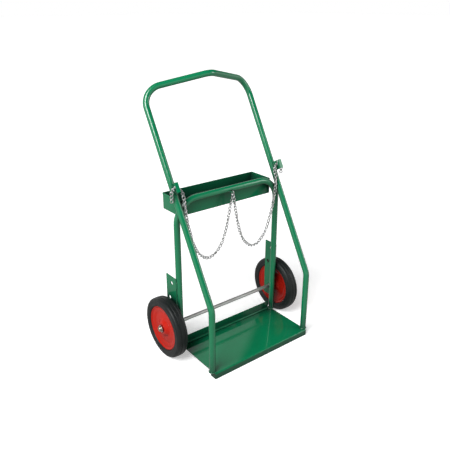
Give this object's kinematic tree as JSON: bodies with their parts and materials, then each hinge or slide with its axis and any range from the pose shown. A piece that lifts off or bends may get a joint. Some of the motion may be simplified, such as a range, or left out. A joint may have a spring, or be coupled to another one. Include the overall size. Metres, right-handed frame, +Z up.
{
  "type": "oxy acetylene torch cart",
  "caption": "Two-wheeled gas cylinder cart with bent tube frame, base plate, tool tray, leaning handle and retaining chains.",
  "frame": {"origin": "bottom centre of the bounding box, on the ground", "axes": "+Z up; -Y is the front, where the cylinders go in; +X is the cart's left-to-right seen from the front"},
  "size_m": [0.6756, 0.44, 1.1079],
  "materials": {
    "axle": "bare drawn steel",
    "axle_bracket_left": "gloss green paint",
    "axle_bracket_right": "gloss green paint",
    "axle_cap_left": "bright zinc plate",
    "axle_cap_right": "bright zinc plate",
    "base_plate": "gloss green paint",
    "chain_eye": "gloss green paint",
    "chain_left": "bright zinc plate",
    "chain_right": "bright zinc plate",
    "eye_link": "bright zinc plate",
    "hub_left": "gloss red paint",
    "hub_right": "gloss red paint",
    "keeper_left": "gloss green paint",
    "keeper_right": "gloss green paint",
    "main_frame_tube": "gloss green paint",
    "rear_frame_tube": "gloss green paint",
    "rim_inner_left": "gloss red paint",
    "rim_inner_right": "gloss red paint",
    "rim_outer_left": "gloss red paint",
    "rim_outer_right": "gloss red paint",
    "slot_link_left": "bright zinc plate",
    "slot_link_right": "bright zinc plate",
    "tail_link_left_1": "bright zinc plate",
    "tail_link_left_2": "bright zinc plate",
    "tail_link_left_3": "bright zinc plate",
    "tail_link_left_4": "bright zinc plate",
    "tail_link_left_5": "bright zinc plate",
    "tail_link_right_1": "bright zinc plate",
    "tail_link_right_2": "bright zinc plate",
    "tail_link_right_3": "bright zinc plate",
    "tail_link_right_4": "bright zinc plate",
    "tray": "gloss green paint",
    "tyre_left": "matte black rubber",
    "tyre_right": "matte black rubber",
    "washer_inner_left": "bright zinc plate",
    "washer_inner_right": "bright zinc plate",
    "washer_outer_left": "bright zinc plate",
    "washer_outer_right": "bright zinc plate"
  },
  "bodies": {
    "cart": {"axle": "axle", "axle_bracket_left": "axle_bracket_left", "axle_bracket_right": "axle_bracket_right", "axle_cap_left": "axle_cap_left", "axle_cap_right": "axle_cap_right", "base_plate": "base_plate", "chain_eye": "chain_eye", "eye_link": "eye_link", "keeper_left": "keeper_left", "keeper_right": "keeper_right", "main_frame_tube": "main_frame_tube", "rear_frame_tube": "rear_frame_tube", "slot_link_left": "slot_link_left", "slot_link_right": "slot_link_right", "tray": "tray", "washer_inner_left": "washer_inner_left", "washer_inner_right": "washer_inner_right", "washer_outer_left": "washer_outer_left", "washer_outer_right": "washer_outer_right"},
    "wheel_left": {"tyre_left": "tyre_left", "rim_outer_left": "rim_outer_left", "rim_inner_left": "rim_inner_left", "hub_left": "hub_left"},
    "wheel_right": {"tyre_right": "tyre_right", "rim_outer_right": "rim_outer_right", "rim_inner_right": "rim_inner_right", "hub_right": "hub_right"},
    "chain_left": {"chain_left": "chain_left"},
    "chain_right": {"chain_right": "chain_right"},
    "tail_left": {"tail_link_left_1": "tail_link_left_1", "tail_link_left_2": "tail_link_left_2", "tail_link_left_3": "tail_link_left_3", "tail_link_left_4": "tail_link_left_4", "tail_link_left_5": "tail_link_left_5"},
    "tail_right": {"tail_link_right_1": "tail_link_right_1", "tail_link_right_2": "tail_link_right_2", "tail_link_right_3": "tail_link_right_3", "tail_link_right_4": "tail_link_right_4"}
  },
  "joints": [
    {"name": "wheel_left_spin", "type": "hinge", "parent": "cart", "child": "wheel_left", "pos_m": [-0.299, 0.04, 0.127], "axis": [1, 0, 0], "continuous": true},
    {"name": "wheel_right_spin", "type": "hinge", "parent": "cart", "child": "wheel_right", "pos_m": [0.299, 0.04, 0.127], "axis": [1, 0, 0], "continuous": true},
    {"name": "chain_left_swing", "type": "hinge", "parent": "cart", "child": "chain_left", "pos_m": [0, -0.0136, 0.64355], "axis": [-0.9534, 0.077, 0.2917], "range_deg": [-2, 35]},
    {"name": "chain_right_swing", "type": "hinge", "parent": "cart", "child": "chain_right", "pos_m": [0, -0.01, 0.64355], "axis": [-0.9543, -0.0629, -0.292], "range_deg": [-2, 35]},
    {"name": "tail_left_swing", "type": "hinge", "parent": "cart", "child": "tail_left", "pos_m": [-0.25493, 0.006, 0.722], "axis": [0, 1, 0], "range_deg": [0, 60]},
    {"name": "tail_right_swing", "type": "hinge", "parent": "cart", "child": "tail_right", "pos_m": [0.25493, 0.006, 0.722], "axis": [0, -1, 0], "range_deg": [0, 60]}
  ]
}
